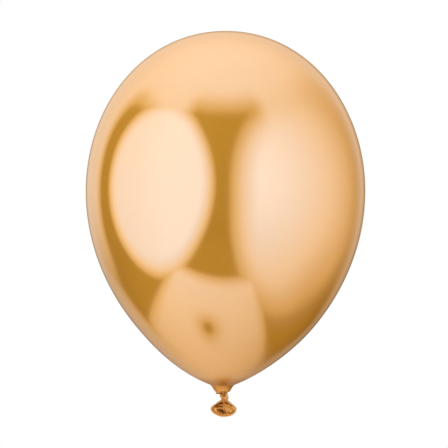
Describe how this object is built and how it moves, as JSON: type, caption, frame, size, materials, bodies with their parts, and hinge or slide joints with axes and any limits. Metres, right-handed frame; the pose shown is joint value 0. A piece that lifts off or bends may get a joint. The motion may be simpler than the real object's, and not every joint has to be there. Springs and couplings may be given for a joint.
{
  "type": "latex balloon",
  "caption": "Inflated round latex party balloon with a metallic film, tied shut with a knot above a flared tail with a rolled lip.",
  "frame": {"origin": "the tie point: the waist between the foot of the neck and the top of the knot, on the bulb's axis", "axes": "+Z along the bulb's axis towards the crown; the open mouth of the tail faces -Y; +X completes the right-handed frame"},
  "size_m": [0.2793, 0.2794, 0.3856],
  "materials": {
    "stretched_film": "gloss",
    "slack_film": "satin"
  },
  "bodies": {
    "bulb": {"envelope": "stretched_film"},
    "neck": {"neck_cone": "stretched_film", "neck_strand": "slack_film"},
    "knot": {"knot_core": "slack_film", "knot_loop": "slack_film"},
    "tail_stem": {"tail_strand": "slack_film"},
    "tail": {"tail_skirt": "slack_film", "rolled_lip": "slack_film"}
  },
  "joints": [
    {"name": "neck_bend", "type": "hinge", "parent": "bulb", "child": "neck", "pos_m": [0, 0, 0.0096], "axis": [1, 0, 0], "range_deg": [-15, 15], "stiffness_Nm_per_rad": 0.002},
    {"name": "knot_bend", "type": "hinge", "parent": "neck", "child": "knot", "pos_m": [0, 0, 0], "axis": [0, 1, 0], "range_deg": [-12, 12], "stiffness_Nm_per_rad": 0.001},
    {"name": "tail_nod", "type": "hinge", "parent": "knot", "child": "tail_stem", "pos_m": [0, 0, -0.0062], "axis": [1, 0, 0], "range_deg": [-30, 40], "stiffness_Nm_per_rad": 0.0003},
    {"name": "tail_swing", "type": "hinge", "parent": "tail_stem", "child": "tail", "pos_m": [0, 0, -0.0092], "axis": [0, 1, 0], "range_deg": [-30, 30], "stiffness_Nm_per_rad": 0.0003}
  ]
}
